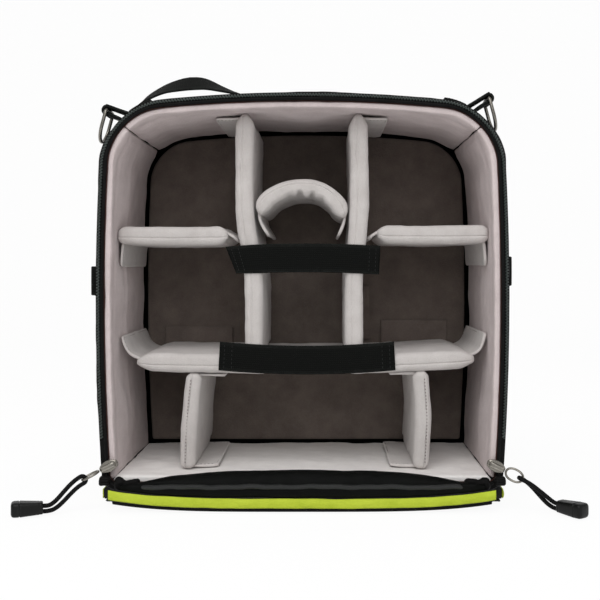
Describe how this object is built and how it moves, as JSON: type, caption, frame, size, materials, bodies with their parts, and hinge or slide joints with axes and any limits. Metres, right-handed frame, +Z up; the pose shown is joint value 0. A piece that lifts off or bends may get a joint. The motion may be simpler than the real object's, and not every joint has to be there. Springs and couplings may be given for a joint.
{
  "type": "camera bag insert",
  "caption": "Padded box-shaped insert with removable dividers, webbing straps, a fold-back zip lid, a carry handle and corner rings.",
  "frame": {"origin": "under the middle of the body, on the resting face of the folded lid", "axes": "+Z up along the body's height, +X to the right seen from the mouth, -Y out of the mouth"},
  "size_m": [0.4636, 0.355, 0.3709],
  "materials": {
    "casing_fabric": "matt woven nylon",
    "lining_fabric": "brushed loop lining",
    "floor_fabric": "brushed loop lining",
    "lime_fabric": "wrinkled coated band",
    "webbing": "woven webbing",
    "zip_nylon": "moulded coil",
    "nickel": "worn nickel plate",
    "cord": "braided cord",
    "grip_plastic": "moulded grip"
  },
  "bodies": {
    "body": {"casing": "casing_fabric", "rim_tape": "casing_fabric", "left_lining": "lining_fabric", "right_lining": "lining_fabric", "top_lining": "lining_fabric", "low_lining": "lining_fabric", "back_lining": "floor_fabric", "zip_coil_body": "zip_nylon", "carry_handle": "webbing", "left_side_loop": "webbing", "right_side_loop": "webbing", "left_ring_tab": "webbing", "right_ring_tab": "webbing", "left_zip_end": "casing_fabric", "right_zip_end": "casing_fabric"},
    "lid": {"lid_shell": "casing_fabric", "lid_lining": "lining_fabric", "zip_coil_lid": "zip_nylon", "lime_band_front": "lime_fabric", "lime_band_sides": "lime_fabric", "hinge_fold": "casing_fabric"},
    "divider_cradle": {"left_upright_divider": "lining_fabric", "right_upright_divider": "lining_fabric", "long_shelf_divider": "lining_fabric"},
    "upper_strap": {"upper_strap": "webbing"},
    "lower_strap": {"lower_strap": "webbing"},
    "left_shelf": {"left_shelf_divider": "lining_fabric"},
    "right_shelf": {"right_shelf_divider": "lining_fabric"},
    "lower_left": {"lower_left_divider": "lining_fabric"},
    "lower_right": {"lower_right_divider": "lining_fabric"},
    "arch": {"arch_divider": "lining_fabric"},
    "left_slider": {"left_zip_slider": "nickel", "left_pull_ring": "nickel", "left_pull_cord": "cord", "left_pull_grip": "grip_plastic"},
    "right_slider": {"right_zip_slider": "nickel", "right_pull_ring": "nickel", "right_pull_cord": "cord", "right_pull_grip": "grip_plastic"},
    "left_ring": {"left_d_ring": "nickel"},
    "right_ring": {"right_d_ring": "nickel"}
  },
  "joints": [
    {"name": "lid_fold", "type": "hinge", "parent": "body", "child": "lid", "pos_m": [0, -0.1005, 0.01425], "axis": [1, 0, 0], "range_deg": [-270, 0]},
    {"name": "cradle_out", "type": "slide", "parent": "body", "child": "divider_cradle", "axis": [0, -1, 0], "range_m": [0, 0.165]},
    {"name": "left_shelf_out", "type": "slide", "parent": "body", "child": "left_shelf", "axis": [0, -1, 0], "range_m": [0, 0.165]},
    {"name": "right_shelf_out", "type": "slide", "parent": "body", "child": "right_shelf", "axis": [0, -1, 0], "range_m": [0, 0.165]},
    {"name": "lower_left_out", "type": "slide", "parent": "body", "child": "lower_left", "axis": [0, -1, 0], "range_m": [0, 0.165]},
    {"name": "lower_right_out", "type": "slide", "parent": "body", "child": "lower_right", "axis": [0, -1, 0], "range_m": [0, 0.165]},
    {"name": "arch_out", "type": "slide", "parent": "body", "child": "arch", "axis": [0, -1, 0], "range_m": [0, 0.165]},
    {"name": "upper_strap_off", "type": "slide", "parent": "divider_cradle", "child": "upper_strap", "axis": [0, -1, 0], "range_m": [0, 0.06]},
    {"name": "lower_strap_off", "type": "slide", "parent": "divider_cradle", "child": "lower_strap", "axis": [0, -1, 0], "range_m": [0, 0.06]},
    {"name": "left_zip_run", "type": "slide", "parent": "body", "child": "left_slider", "axis": [0, 0, 1], "range_m": [0, 0.04]},
    {"name": "right_zip_run", "type": "slide", "parent": "body", "child": "right_slider", "axis": [0, 0, 1], "range_m": [0, 0.04]},
    {"name": "left_ring_swing", "type": "hinge", "parent": "body", "child": "left_ring", "pos_m": [-0.16439, -0.06536, 0.33256], "axis": [0, 1, 0], "range_deg": [0, 110]},
    {"name": "right_ring_swing", "type": "hinge", "parent": "body", "child": "right_ring", "pos_m": [0.15611, -0.06536, 0.34252], "axis": [0, -1, 0], "range_deg": [0, 110]}
  ]
}
